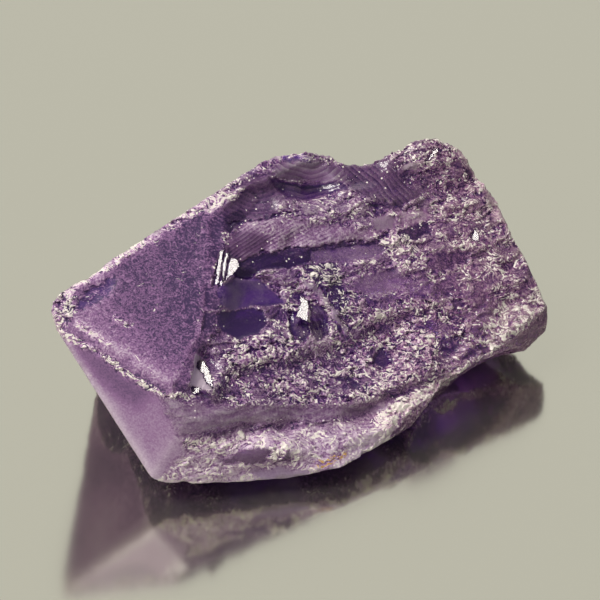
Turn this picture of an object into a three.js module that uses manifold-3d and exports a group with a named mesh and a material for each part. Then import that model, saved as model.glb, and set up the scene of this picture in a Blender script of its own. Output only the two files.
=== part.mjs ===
// Rough amethyst: the broken end of one quartz crystal, lying on its side, 43 mm long.
// Millimetres, +Z up. The tip points left and forward, towards -X and -Y.
// The natural crystal faces that meet at the tip stay flat. All the rest is a stepped, shell-like break.
import * as THREE from "three";
import { ConvexGeometry } from "three/addons/geometries/ConvexGeometry.js";
import { mergeVertices } from "three/addons/utils/BufferGeometryUtils.js";
import Module from "manifold-3d";

const wasm = await Module();
wasm.setup();

const { degToRad, lerp, smoothstep } = THREE.MathUtils;

// Driving dimensions of the raw crystal: its corners as x, y and z
const TIP = [
  [-21.0, -8.4, 15.9],
  [-20.5, -9.3, 14.2],
  [-20.8, -7.2, 13.8],
  [-20.3, -7.3, 16.4],
];
const CREST = [
  [-2.1, 7.5, 20.75],
  [-0.9, 7.9, 20.8],
  [1.0, 8.4, 20.6],
  [12.0, 12.7, 18.8],
  [14.0, 13.1, 17.4],
];
const FRONT_CORNER = [
  [-12.6, -15.0, 2.8],
  [-12.0, -14.9, 2.1],
];
const FRONT_RIDGE_END = [-8.4, -13.7, 9.8];
const RIGHT_EDGE = [
  [15.6, 12.0, 15.6],
  [17.2, 11.2, 13.6],
  [18.6, 9.4, 11.4],
  [19.9, 7.5, 9.2],
  [21.3, 5.6, 7.2],
  [21.7, 5.2, 6.4],
];
const LIP_TOP = [
  [20.2, 3.3, 5.3],
  [18.4, 1.9, 4.8],
  [15.3, -0.2, 4.2],
  [11.5, -4.3, 3.5],
];
const LOWER_EDGE = [
  [22.0, 5.6, 3.6],
  [21.7, 5.8, 2.0],
  [20.8, 5.5, 1.1],
  [18.0, 4.3, 0.6],
  [11.3, -2.6, 1.3],
  [9.0, -7.0, 1.9],
  [7.3, -9.3, 2.1],
  [3.4, -12.9, 2.1],
  [-1.7, -14.5, 1.9],
  [-6.3, -15.0, 2.0],
];
const FOOT = [
  [-12.0, -9.8, 0],
  [-17.8, 2.5, 0],
  [-9.5, 10.4, 0],
  [6.0, 12.2, 0],
  [15.0, 9.0, 0],
  [14.5, 4.0, 0],
  [9.5, -4.0, 0],
  [1.0, -10.0, 0],
];
const BACK = [
  [-4.0, 11.4, 8.0],
  [0.0, 13.2, 8.0],
  [12.0, 14.2, 9.0],
  [19.0, 10.5, 5.0],
  [19.8, 9.0, 2.0],
];

// The broken side is a relief seen square on from this slope: u runs right, v up the slope, w out of it
const BREAK_SLOPE = degToRad(36);
const BREAK_MIDDLE = new THREE.Vector3(0, 0, 10.4);
const BREAK_SIZE = [56, 44];
const BREAK_GRID = 0.56;
const BLOCK_TOP = 30;

// The ledges of the break run left to right and climb by this angle
const LEDGE_CLIMB = degToRad(14);

// Its two leaning planes: depth at the middle, then change per millimetre of u and of v
const BREAK_PLANE = { middle: 3.0, perU: -0.445, perV: -0.291 };
const FRONT_PLANE = { middle: 13.1, perU: -0.192, perV: 0.49 };
const SMOOTH_FRONT = 0.35;

// Where the break stops against the two crystal faces: v and u, from the crest down to the front corner
const BREAK_BORDER = [
  [12.6, -2.6],
  [9.0, -6.6],
  [5.0, -6.6],
  [3.0, -7.3],
  [0.0, -6.3],
  [-2.6, -7.2],
  [-4.3, -8.5],
  [-7.3, -9.3],
  [-8.0, -10.8],
  [-11.2, -9.8],
  [-13.4, -10.2],
  [-15.8, -12.1],
];
const BORDER_COLUMN = -8;
const BORDER_WALL = 4;

// Ledges: distance from one to the next, height, and where the first one starts
const BROAD_LEDGES = { pitch: 4.4, height: 1.1, start: 4.1, seed: 11 };
const NARROW_LEDGES = { pitch: 1.7, height: 0.4, start: 0.4, seed: 23 };
const LEDGE_WANDER = { over: 8, by: 1.1, seed: 3 };
const DROP_SHARE = 0.15;

// Shell-shaped hollows: middle, half sizes along and across, turn in degrees, depth
const HOLLOWS = [
  { name: "scallop under the rim", at: [0.5, 9.8], size: [3.1, 1.7], turn: -4, depth: 1.6 },
  { name: "saddle in the crest", at: [4.2, 12.2], size: [3.9, 2.6], turn: 0, depth: 1.3 },
  { name: "rippled scoop by the flat face", at: [-4.4, 8.2], size: [2.9, 1.7], turn: 12, depth: 1.1 },
  { name: "small crescent", at: [6.7, 7.8], size: [1.2, 0.8], turn: 10, depth: 0.5 },
  { name: "rounded peak, proud", at: [12.8, 13.6], size: [4.0, 3.4], turn: 0, depth: -1.5 },
  { name: "granular bowl", at: [5.6, -3.8], size: [6.6, 4.0], turn: 14, depth: 0.9 },
  { name: "left eye pit", at: [0.3, -1.6], size: [0.7, 1.1], turn: 0, depth: 0.8 },
  { name: "right eye pit", at: [1.9, -2.1], size: [0.9, 1.3], turn: 10, depth: 0.9 },
  { name: "band above the front rim", at: [-1.0, -10.6], size: [8.0, 1.8], turn: 2, depth: 0.6 },
];

// Clear windows: patches let into the break, with their own roughness ironed out by this share
const WINDOW_SMOOTHING = 0.7;
const WINDOWS = [
  { name: "indigo window", at: [-4.1, 1.0], size: [2.7, 1.3], turn: -8, depth: 0.7 },
  { name: "dark window", at: [-4.8, -1.7], size: [1.9, 1.2], turn: 0, depth: 0.6 },
  { name: "window under the ledge", at: [3.9, 4.2], size: [3.2, 0.9], turn: 10, depth: 0.4 },
  { name: "window by the eye pits", at: [5.6, 1.6], size: [3.0, 1.3], turn: 12, depth: 0.4 },
];

// Mirror-like facets on steps of the break: their lean is the change of depth per millimetre of u and of v
const FACETS = [
  { name: "striped notch by the flat face", at: [-6.3, 2.4], size: [1.0, 1.6], turn: -14, lean: [0.45, -0.7] },
  { name: "three-sided facet by the ridge", at: [-7.9, -6.2], size: [1.2, 1.9], turn: 20, lean: [0.4, -0.7] },
  { name: "facet above the eye pits", at: [0.2, -0.6], size: [0.6, 1.1], turn: 0, lean: [0.4, -0.9] },
];

// Small shell chips strewn over the break: how many, over which part, and their half size and depth
const STREWN = { count: 110, u: [-8, 21], v: [-13, 13], reach: [0.8, 2.4], depth: [0.15, 0.6], seed: 7 };

// Undercut below the right lip: middle, half sizes along, outward and up, turn about Z in degrees
const UNDERCUT = { at: [15.4, -1.9, -0.6], size: [8.8, 3.6, 5.1], turn: 45 };

// Broad shell breaks on the hidden sides: a place on the side, the way it faces, half width and depth
const SHELLS = [
  { at: [4.0, 12.2, 11.5], facing: [-0.2, 0.9, 0.38], reach: 5.8, depth: 1.0 },
  { at: [10.5, 14.0, 12.0], facing: [0.05, 0.97, 0.2], reach: 5.0, depth: 0.9 },
  { at: [1.0, 13.0, 4.8], facing: [-0.15, 0.98, -0.1], reach: 5.4, depth: 1.0 },
  { at: [7.5, 13.8, 6.0], facing: [0.05, 0.98, -0.15], reach: 5.0, depth: 0.9 },
  { at: [13.5, 12.6, 3.5], facing: [0.4, 0.8, -0.42], reach: 4.6, depth: 0.8 },
  { at: [16.0, 12.6, 8.5], facing: [0.5, 0.85, 0.1], reach: 4.4, depth: 0.8 },
  { at: [18.3, 10.6, 9.5], facing: [0.8, 0.58, 0.1], reach: 3.6, depth: 0.6 },
  { at: [20.3, 8.6, 4.2], facing: [0.88, 0.45, -0.1], reach: 3.4, depth: 0.6 },
  { at: [17.8, 8.0, 0.9], facing: [0.5, 0.0, -0.87], reach: 4.4, depth: 0.7 },
  { at: [13.5, 9.8, 0.2], facing: [0.25, 0.45, -0.86], reach: 4.4, depth: 0.7 },
  { at: [5.5, 12.0, 0.2], facing: [0.0, 0.55, -0.84], reach: 4.6, depth: 0.8 },
  { at: [-4.5, 11.4, 0.2], facing: [-0.25, 0.5, -0.83], reach: 4.4, depth: 0.7 },
  { at: [-13.5, 7.0, 0.2], facing: [-0.5, 0.4, -0.77], reach: 3.6, depth: 0.5 },
  { at: [-16.0, -3.0, 0.8], facing: [-0.75, -0.25, -0.6], reach: 4.2, depth: 0.6 },
  { at: [-12.5, -11.5, 0.9], facing: [-0.45, -0.45, -0.77], reach: 3.2, depth: 0.5 },
  { at: [-5.0, -11.4, 0.5], facing: [0.0, -0.25, -0.97], reach: 4.4, depth: 0.5 },
  { at: [3.0, -9.6, 0.5], facing: [0.12, -0.25, -0.96], reach: 4.2, depth: 0.5 },
  { at: [8.5, -4.5, 0.3], facing: [0.35, -0.3, -0.89], reach: 3.6, depth: 0.5 },
  { at: [14.0, 3.0, 0.1], facing: [0.45, -0.2, -0.87], reach: 3.4, depth: 0.5 },
  { at: [-12.0, 1.5, -0.1], facing: [-0.09, 0.02, -1], reach: 5.4, depth: 0.35 },
  { at: [7.0, 7.0, -0.1], facing: [0.06, 0.06, -1], reach: 5.4, depth: 0.35 },
];

const DISH_DETAIL = 11;

// Chipped edges: from, to, how many chips, and their half width
const CHIPPED_EDGES = [
  { name: "rim of the flat face", from: [-20.4, -7.3, 16.7], to: [-2.1, 7.6, 21.0], count: 15, reach: 0.6 },
  { name: "notch in that rim", from: [-17.6, -5.3, 17.3], to: [-14.8, -3.1, 17.9], count: 3, reach: 1.2 },
  { name: "ridge", from: [-20.6, -8.9, 15.4], to: [-9.0, -13.7, 10.2], count: 12, reach: 0.55 },
  { name: "left outer edge", from: [-20.4, -9.6, 13.8], to: [-13.1, -14.8, 3.4], count: 5, reach: 0.35 },
  { name: "front lower edge", from: [-11.0, -15.1, 2.2], to: [6.8, -10.0, 2.0], count: 8, reach: 0.6 },
  { name: "tip", from: [-21.1, -8.4, 15.8], to: [-20.7, -8.8, 14.4], count: 3, reach: 0.5 },
  { name: "right shoulder", from: [14.8, 13.0, 17.0], to: [21.7, 5.5, 6.8], count: 8, reach: 0.7 },
  { name: "back left edge", from: [-20.8, -6.2, 12.8], to: [-18.1, 2.5, 0.8], count: 5, reach: 0.6 },
];
const CHIP_SEED = 31;

function seeded(seed) {
  let state = seed;
  return (low, high) => {
    state = (state * 1664525 + 1013904223) % 4294967296;
    return lerp(low, high, state / 4294967296);
  };
}

// A repeatable value from -1 to 1 for a whole-numbered place
function scatter(i, j, seed) {
  const s = Math.sin(i * 127.1 + j * 311.7 + seed * 74.7) * 43758.5453;
  return 2 * (s - Math.floor(s)) - 1;
}

// Smooth bumps, one unit apart
function bumps(x, y, seed) {
  const i = Math.floor(x);
  const j = Math.floor(y);
  const s = smoothstep(x - i, 0, 1);
  const t = smoothstep(y - j, 0, 1);
  const low = lerp(scatter(i, j, seed), scatter(i + 1, j, seed), s);
  const high = lerp(scatter(i, j + 1, seed), scatter(i + 1, j + 1, seed), s);
  return lerp(low, high, t);
}

function solid(geometry) {
  geometry.deleteAttribute("normal");
  geometry.deleteAttribute("uv");
  const merged = mergeVertices(geometry, 1e-4);
  const vertProperties = merged.attributes.position.array;
  const triVerts = new Uint32Array(merged.index.array);
  return new wasm.Manifold(new wasm.Mesh({ numProp: 3, vertProperties, triVerts }));
}

// The crystal before it broke down to its present face: a solid with flat sides only
function rawCrystal() {
  const corners = [
    ...TIP,
    ...CREST,
    ...FRONT_CORNER,
    FRONT_RIDGE_END,
    ...RIGHT_EDGE,
    ...LIP_TOP,
    ...LOWER_EDGE,
    ...FOOT,
    ...BACK,
  ];
  return solid(new ConvexGeometry(corners.map((corner) => new THREE.Vector3(...corner))));
}

// How far a place is from an oval's middle, 1 on its rim
function ovalReach(u, v, { at, size, turn }) {
  const du = u - at[0];
  const dv = v - at[1];
  const c = Math.cos(degToRad(turn));
  const s = Math.sin(degToRad(turn));
  return Math.hypot((du * c + dv * s) / size[0], (dv * c - du * s) / size[1]);
}

// One flight of ledges: long treads that face up, each ending in a short drop
function ledges(along, across, { pitch, height, start, seed }) {
  const place = (across - start) / pitch + 0.3 * bumps(along / (2 * pitch), across / pitch, seed);
  const step = Math.floor(place);
  const rise = place - step;
  const own = height * (0.5 + 0.5 * bumps(along / (1.5 * pitch), step * 3.7, seed + 1));
  return own * (rise < DROP_SHARE ? rise / DROP_SHARE : (1 - rise) / (1 - DROP_SHARE)) - 0.5 * own;
}

function strewnChips() {
  const pick = seeded(STREWN.seed);
  return Array.from({ length: STREWN.count }, () => {
    const reach = pick(...STREWN.reach);
    return {
      at: [pick(...STREWN.u), pick(...STREWN.v)],
      size: [reach, reach * pick(0.45, 0.8)],
      turn: pick(-10, 40),
      depth: pick(...STREWN.depth),
    };
  });
}

const STREWN_HOLLOWS = strewnChips();

function planeDepth(plane, u, v) {
  return plane.middle + plane.perU * u + plane.perV * v;
}

// What all the hollows that hold a place take off there
function dipAt(u, v, hollows) {
  const dips = hollows.map((hollow) => hollow.depth * (1 - Math.min(ovalReach(u, v, hollow), 1) ** 2));
  return dips.reduce((sum, dip) => sum + dip, 0);
}

// Depth of the broken side at a place on its slope
function breakDepth(along, across) {
  const c = Math.cos(LEDGE_CLIMB);
  const s = Math.sin(LEDGE_CLIMB);
  const u = along * c - across * s;
  const v = along * s + across * c;
  const main = planeDepth(BREAK_PLANE, u, v);
  const front = planeDepth(FRONT_PLANE, u, v);
  const rough = smoothstep(front - main, -2, 1);
  const base = Math.min(main, front);
  const { over, by, seed } = LEDGE_WANDER;
  const level = across + by * bumps(along / over, across / over, seed);
  const steps = ledges(along, level, BROAD_LEDGES) + ledges(along, level, NARROW_LEDGES);
  let w = base + lerp(SMOOTH_FRONT, 1, rough) * (steps - dipAt(u, v, STREWN_HOLLOWS));
  w -= dipAt(u, v, HOLLOWS);
  for (const pane of WINDOWS) {
    if (ovalReach(u, v, pane) < 1) w = lerp(w, base, WINDOW_SMOOTHING) - pane.depth;
  }
  for (const facet of FACETS) {
    const [du, dv] = [u - facet.at[0], v - facet.at[1]];
    if (ovalReach(u, v, facet) < 1) w = base + facet.lean[0] * du + facet.lean[1] * dv;
  }
  return w;
}

// Where the border of the break crosses one row of ledges
function borderAlong(across) {
  const c = Math.cos(LEDGE_CLIMB);
  const s = Math.sin(LEDGE_CLIMB);
  const points = BREAK_BORDER.map(([v, u]) => ({ along: u * c + v * s, across: v * c - u * s }));
  const next = points.findIndex((point) => point.across <= across);
  if (next < 0) return points.at(-1).along;
  if (next === 0) return points[0].along;
  const above = points[next - 1];
  const below = points[next];
  return lerp(below.along, above.along, (across - below.across) / (above.across - below.across));
}

// A block whose underside is a relief, to cut with
function reliefBlock([width, length], grid, shape) {
  const [columns, rows] = [width, length].map((side) => Math.round(side / grid));
  const block = new THREE.BoxGeometry(width, length, 1, columns, rows);
  const p = block.attributes.position;
  for (let i = 0; i < p.count; i++) {
    const { x, y, z } = shape(p.getX(i), p.getY(i));
    p.setXYZ(i, x, y, p.getZ(i) < 0 ? z : BLOCK_TOP);
  }
  return block;
}

// The rows of the relief are squeezed so that one column of its grid follows the border
function breakPoint(column, across) {
  const half = BREAK_SIZE[0] / 2;
  const border = borderAlong(across);
  const left = column < BORDER_COLUMN - 1e-6;
  const along = left
    ? lerp(-half, border, (column + half) / (BORDER_COLUMN + half))
    : lerp(border, half, (column - BORDER_COLUMN) / (half - BORDER_COLUMN));
  return { x: along, y: across, z: breakDepth(along, across) + (left ? BORDER_WALL : 0) };
}

// The sloping frame of the break, turned so that its rows follow the ledges
function breakFrame() {
  const u = new THREE.Vector3(1, 0, 0);
  const w = new THREE.Vector3(0, -Math.cos(BREAK_SLOPE), Math.sin(BREAK_SLOPE));
  const v = new THREE.Vector3().crossVectors(w, u);
  const frame = new THREE.Matrix4().makeBasis(u, v, w).setPosition(BREAK_MIDDLE);
  return frame.multiply(new THREE.Matrix4().makeRotationZ(LEDGE_CLIMB));
}

function brokenSide() {
  return solid(reliefBlock(BREAK_SIZE, BREAK_GRID, breakPoint).applyMatrix4(breakFrame()));
}

function undercut() {
  const scoop = new THREE.IcosahedronGeometry(1, 6);
  scoop.scale(...UNDERCUT.size);
  scoop.rotateZ(degToRad(UNDERCUT.turn));
  return solid(scoop.translate(...UNDERCUT.at));
}

// A ball that cuts a shallow dish of a given half width and depth where it is set
function dish({ at, facing, reach, depth }) {
  const radius = (reach * reach + depth * depth) / (2 * depth);
  const outward = new THREE.Vector3(...facing).normalize();
  const middle = new THREE.Vector3(...at).addScaledVector(outward, radius - depth);
  return solid(new THREE.IcosahedronGeometry(radius, DISH_DETAIL).translate(...middle));
}

// Small flakes lost along an edge, each a stretched pebble shape laid roughly along it
function chips({ from, to, count, reach }, pick) {
  const start = new THREE.Vector3(...from);
  const end = new THREE.Vector3(...to);
  const run = new THREE.Vector3().subVectors(end, start).normalize();
  return Array.from({ length: count }, (_, i) => {
    const size = reach * pick(0.5, 1.25);
    const flake = new THREE.IcosahedronGeometry(size, 0);
    flake.rotateZ(pick(0, 3)).rotateX(pick(0, 3));
    flake.scale(pick(1.2, 2.4), pick(0.6, 1), pick(0.45, 0.7));
    const lie = new THREE.Quaternion().setFromUnitVectors(new THREE.Vector3(1, 0, 0), run);
    const middle = start.clone().lerp(end, (i + pick(0.1, 0.9)) / count);
    middle.add(new THREE.Vector3(pick(-0.3, 0.3), pick(-0.3, 0.3), pick(-0.3, 0.3)).multiplyScalar(reach));
    return solid(flake.applyQuaternion(lie).translate(middle.x, middle.y, middle.z));
  });
}

function geometryOf(made) {
  const mesh = made.getMesh();
  const geometry = new THREE.BufferGeometry();
  geometry.setAttribute("position", new THREE.BufferAttribute(mesh.vertProperties, 3));
  geometry.setIndex(new THREE.BufferAttribute(mesh.triVerts, 1));
  return geometry;
}

// Puts the origin under the middle of the stone, on the surface it rests on
function standOnOrigin(geometry) {
  geometry.computeBoundingBox();
  const { min, max } = geometry.boundingBox;
  return geometry.translate(-(min.x + max.x) / 2, -(min.y + max.y) / 2, -min.z);
}

// The stone alone, without a flake cut loose or a flake's mark that stayed inside
function outerBody(made) {
  return made.decompose().reduce((most, body) => (body.volume() > most.volume() ? body : most));
}

function brokenCrystal() {
  const pick = seeded(CHIP_SEED);
  const cuts = [
    brokenSide(),
    undercut(),
    ...SHELLS.map((shell) => dish(shell)),
    ...CHIPPED_EDGES.flatMap((edge) => chips(edge, pick)),
  ];
  return outerBody(cuts.reduce((stone, cut) => stone.subtract(cut), rawCrystal()));
}

const quartz = new THREE.MeshStandardMaterial({ color: 0x7b5687, roughness: 0.45, metalness: 0 });

const amethyst = new THREE.Mesh(standOnOrigin(geometryOf(brokenCrystal())), quartz);
amethyst.name = "amethyst";

const part = new THREE.Group();
part.add(amethyst);

export default part;
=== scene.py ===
# %% [markdown]
# # A rough amethyst
# The stone is the broken end of one quartz crystal. Two flat, etched crystal faces meet at the tip on
# the left. All the rest of what the camera sees is a break: long ledges, shell-shaped scoops, clear
# windows and glittering crush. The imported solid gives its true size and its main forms. This file
# makes the fine surface over that solid, and the clear violet quartz it is made of.

from math import radians

import bpy
import numpy as np
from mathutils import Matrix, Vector, noise
from mathutils.bvhtree import BVHTree


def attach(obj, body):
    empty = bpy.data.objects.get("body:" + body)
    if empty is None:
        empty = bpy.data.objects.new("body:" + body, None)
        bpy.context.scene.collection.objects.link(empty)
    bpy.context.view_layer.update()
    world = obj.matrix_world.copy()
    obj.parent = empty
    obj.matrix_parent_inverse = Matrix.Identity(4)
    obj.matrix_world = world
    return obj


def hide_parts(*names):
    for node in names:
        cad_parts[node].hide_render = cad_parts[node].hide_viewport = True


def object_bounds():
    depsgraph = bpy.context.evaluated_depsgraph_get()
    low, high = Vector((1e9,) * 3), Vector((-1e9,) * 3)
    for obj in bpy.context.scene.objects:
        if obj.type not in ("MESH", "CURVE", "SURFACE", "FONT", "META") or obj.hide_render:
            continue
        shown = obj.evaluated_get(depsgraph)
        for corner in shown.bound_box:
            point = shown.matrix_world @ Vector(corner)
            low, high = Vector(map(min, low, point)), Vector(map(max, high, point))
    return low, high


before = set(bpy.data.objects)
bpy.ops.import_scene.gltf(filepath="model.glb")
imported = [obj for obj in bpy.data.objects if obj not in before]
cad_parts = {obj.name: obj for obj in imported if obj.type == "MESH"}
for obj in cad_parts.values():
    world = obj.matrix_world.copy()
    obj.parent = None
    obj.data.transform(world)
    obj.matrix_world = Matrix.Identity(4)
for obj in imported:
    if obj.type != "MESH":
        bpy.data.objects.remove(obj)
cad_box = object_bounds()
bpy.ops.object.select_all(action="DESELECT")
print("solid, corner to corner:", cad_box[0][:], cad_box[1][:])

# %% [markdown]
# ## The camera
# A long lens looks down at the stone from a little over a third of a right angle. Such a lens keeps
# the edges of the crystal nearly parallel. The camera is aimed by a rotation from its direction of
# view, which is simpler here than a Track To constraint and leaves nothing live in the file.

# %% The camera
MM = 0.001
AIM = Vector((-0.487, 0.435, 10.4)) * MM
CAMERA_RISE = radians(36)
CAMERA_DISTANCE = 359.2 * MM
LENS = 250.0
SENSOR = 36.0

camera = bpy.data.objects.new("camera", bpy.data.cameras.new("camera"))
bpy.context.scene.collection.objects.link(camera)
bpy.context.scene.camera = camera
camera.data.lens = LENS
camera.data.sensor_width = SENSOR
camera.data.clip_start = 10 * MM
to_camera = Vector((0, -np.cos(CAMERA_RISE), np.sin(CAMERA_RISE)))
camera.location = AIM + CAMERA_DISTANCE * to_camera
camera.rotation_euler = to_camera.to_track_quat("Z", "Y").to_euler()
print("camera at", camera.location[:])

# %% [markdown]
# ## The floor and the light
# The floor is a plain pale sheet with a satin skin, so it gives back a soft image of the stone. One
# soft lamp stands high above, to the left, as a window would. Every small face of the break that
# leans the right way mirrors it, and that is where part of the glitter comes from; more is painted
# into the crush as white slivers. A broad panel behind lights the glassy parts through, and a large
# weak lamp in front on the left and a pale surround fill the shade. They are area lamps, because a
# small face mirrors one as a soft patch, and a point lamp only as a dot.

# %% Colours as linear light
def linear(hex_colour):
    """An sRGB hex colour as linear red, green and blue, with alpha."""
    parts = [int(hex_colour[i : i + 2], 16) / 255 for i in (1, 3, 5)]
    return (*[p / 12.92 if p <= 0.04045 else ((p + 0.055) / 1.055) ** 2.4 for p in parts], 1.0)


print("middle grey as linear light:", round(linear("#808080")[0], 3))

# %% The floor
FLOOR_SIZE = 1.6
FLOOR_COLOUR = "#c2c1b5"
FLOOR_ROUGHNESS = 0.13
FLOOR_METALLIC = 0.96

bpy.ops.mesh.primitive_plane_add(size=FLOOR_SIZE)
floor = bpy.context.object
floor.name = "floor"

satin_floor = bpy.data.materials.new("satin_pale_floor")
satin_floor.use_nodes = True
shader = satin_floor.node_tree.nodes["Principled BSDF"]
shader.inputs["Base Color"].default_value = linear(FLOOR_COLOUR)
shader.inputs["Roughness"].default_value = FLOOR_ROUGHNESS
shader.inputs["Metallic"].default_value = FLOOR_METALLIC
floor.data.materials.append(satin_floor)
print("floor, metres across:", FLOOR_SIZE)

# %% The lamps and the surround
KEY_FROM = Vector((-0.42, -0.12, 0.90)).normalized()
# Each lamp: name, where it stands, metres away, metres across, watts, colour
LAMPS = [
    ("window_lamp", KEY_FROM, 0.60, 0.26, 3.6, "#fffaf2"),
    ("back_panel", Vector((0, 0.81, 0.59)).normalized(), 1.6, 1.5, 4.6, "#fffdf6"),
    ("fill_lamp", Vector((-0.55, -0.75, 0.4)).normalized(), 0.8, 1.2, 3.4, "#fff8f4"),
]
SURROUND_COLOUR = "#c9c9c4"
SURROUND_STRENGTH = 0.42

for name, toward, away, size, watts, colour in LAMPS:
    lamp = bpy.data.objects.new(name, bpy.data.lights.new(name, "AREA"))
    bpy.context.scene.collection.objects.link(lamp)
    lamp.data.size = size
    lamp.data.energy = watts
    lamp.data.color = linear(colour)[:3]
    lamp.location = AIM + away * toward
    lamp.rotation_euler = toward.to_track_quat("Z", "Y").to_euler()

surround = bpy.data.worlds.new("pale_surround")
bpy.context.scene.world = surround
surround.use_nodes = True
surround.node_tree.nodes["Background"].inputs["Color"].default_value = linear(SURROUND_COLOUR)
surround.node_tree.nodes["Background"].inputs["Strength"].default_value = SURROUND_STRENGTH
bpy.context.scene.view_settings.view_transform = "Standard"
print("lamps:", [row[0] for row in LAMPS])

# %% [markdown]
# ## The body of the stone
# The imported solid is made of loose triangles, so a copy of it is merged first. A voxel remesh then
# lays an even net of small squares over the whole stone, which is what vertex moves need. A
# multiresolution sculpt would be the way by hand; here the same strokes are written as code.

# %% An even net over the solid
NET = 0.29 * MM


def even_copy(source, name, net):
    """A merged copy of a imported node, remeshed to an even net."""
    copy = bpy.data.objects.new(name, source.data.copy())
    bpy.context.scene.collection.objects.link(copy)
    bpy.ops.object.select_all(action="DESELECT")
    copy.select_set(True)
    bpy.context.view_layer.objects.active = copy
    bpy.ops.object.mode_set(mode="EDIT")
    bpy.ops.mesh.select_all(action="SELECT")
    bpy.ops.mesh.remove_doubles(threshold=0.002 * MM)
    bpy.ops.object.mode_set(mode="OBJECT")
    remesh = copy.modifiers.new("net", "REMESH")
    remesh.mode = "VOXEL"
    remesh.voxel_size = net
    bpy.ops.object.modifier_apply(modifier=remesh.name)
    return copy


stone = even_copy(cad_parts["amethyst"], "amethyst_crystal", NET)
print("faces in the even net:", len(stone.data.polygons))

# %% [markdown]
# ## Places on the stone, as the camera sees them
# Features are placed in a view plane through the middle of the stone: millimetres to the right and
# millimetres up, as if drawn on a sheet of glass in front of it. A vertex is only ever moved along
# the line of sight there, so a feature stays where it was drawn, and the outline stays as it is.
# A vertex belongs to the seen side unless something else of the stone stands well in front of it.

# %% The view plane
HIDDEN_BEHIND = 1.5 * MM
TURNED_AWAY = -0.15
eye = camera.location.copy()


def read_vectors(items, what):
    flat = np.empty(len(items) * 3)
    items.foreach_get(what, flat)
    return flat.reshape(-1, 3)


def view_plane(points):
    """Millimetres right and up in the view plane, for points in metres."""
    right = np.array((1.0, 0.0, 0.0))
    back = np.array(to_camera)
    up = np.cross(back, right)
    ray = points - np.array(eye)
    depth = -(ray @ back)
    scale = CAMERA_DISTANCE / depth / MM
    return np.stack([ray @ right * scale, ray @ up * scale], axis=1)


print("middle of the solid, mm right and up:", view_plane(np.array(cad_box).mean(axis=0)[None])[0])


# %% Which vertices are seen
def seen_from_camera(mesh, points, normals):
    """1 for a vertex on the seen side of the stone, 0 for one behind it."""
    tree = BVHTree.FromPolygons([v.co for v in mesh.vertices], [p.vertices for p in mesh.polygons])
    seen = np.zeros(len(points))
    for i, point in enumerate(points):
        start = Vector(point)
        toward = (eye - start).normalized()
        if Vector(normals[i]).dot(toward) < TURNED_AWAY:
            continue
        hit = tree.ray_cast(start + toward * HIDDEN_BEHIND, toward)
        seen[i] = 0.0 if hit[0] else 1.0
    return seen


def read_surface(mesh):
    """The place, the normal and the seen share of each vertex."""
    points = read_vectors(mesh.vertices, "co")
    normals = read_vectors(mesh.vertices, "normal")
    return points, normals, seen_from_camera(mesh, points, normals)


points, normals, seen = read_surface(stone.data)
print("share of the net that is seen:", round(seen.mean(), 3))

# %% [markdown]
# ## A map of the surface
# Each patch is an outline in the view plane with the finish it has inside. Each stroke is a line with
# a width. They are laid over each other in order, as paint would be. The finishes are:
# - frost: an even, etched skin, as on the natural crystal faces
# - crush: small broken grains that glitter
# - pale: opaque white crumb, where the quartz is bruised
# - clear: a glassy window into the stone
# - tone: from -1, deep indigo, to 1, pale lilac
# - ledge: how strongly the long ledges show
# - sink: how far it lies below its surroundings, in millimetres
# - iron: yellow rust stain

# %% The finish of a plain break, and the patches over it
FINISHES = ("frost", "crush", "pale", "clear", "tone", "ledge", "sink", "iron")
PLAIN_BREAK = {"frost": 0.2, "crush": 0.6, "pale": 0.18, "clear": 0.3, "tone": -0.1, "ledge": 1.0}

# A few rows use their tone to paint light or shade; each of them says so.
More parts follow.
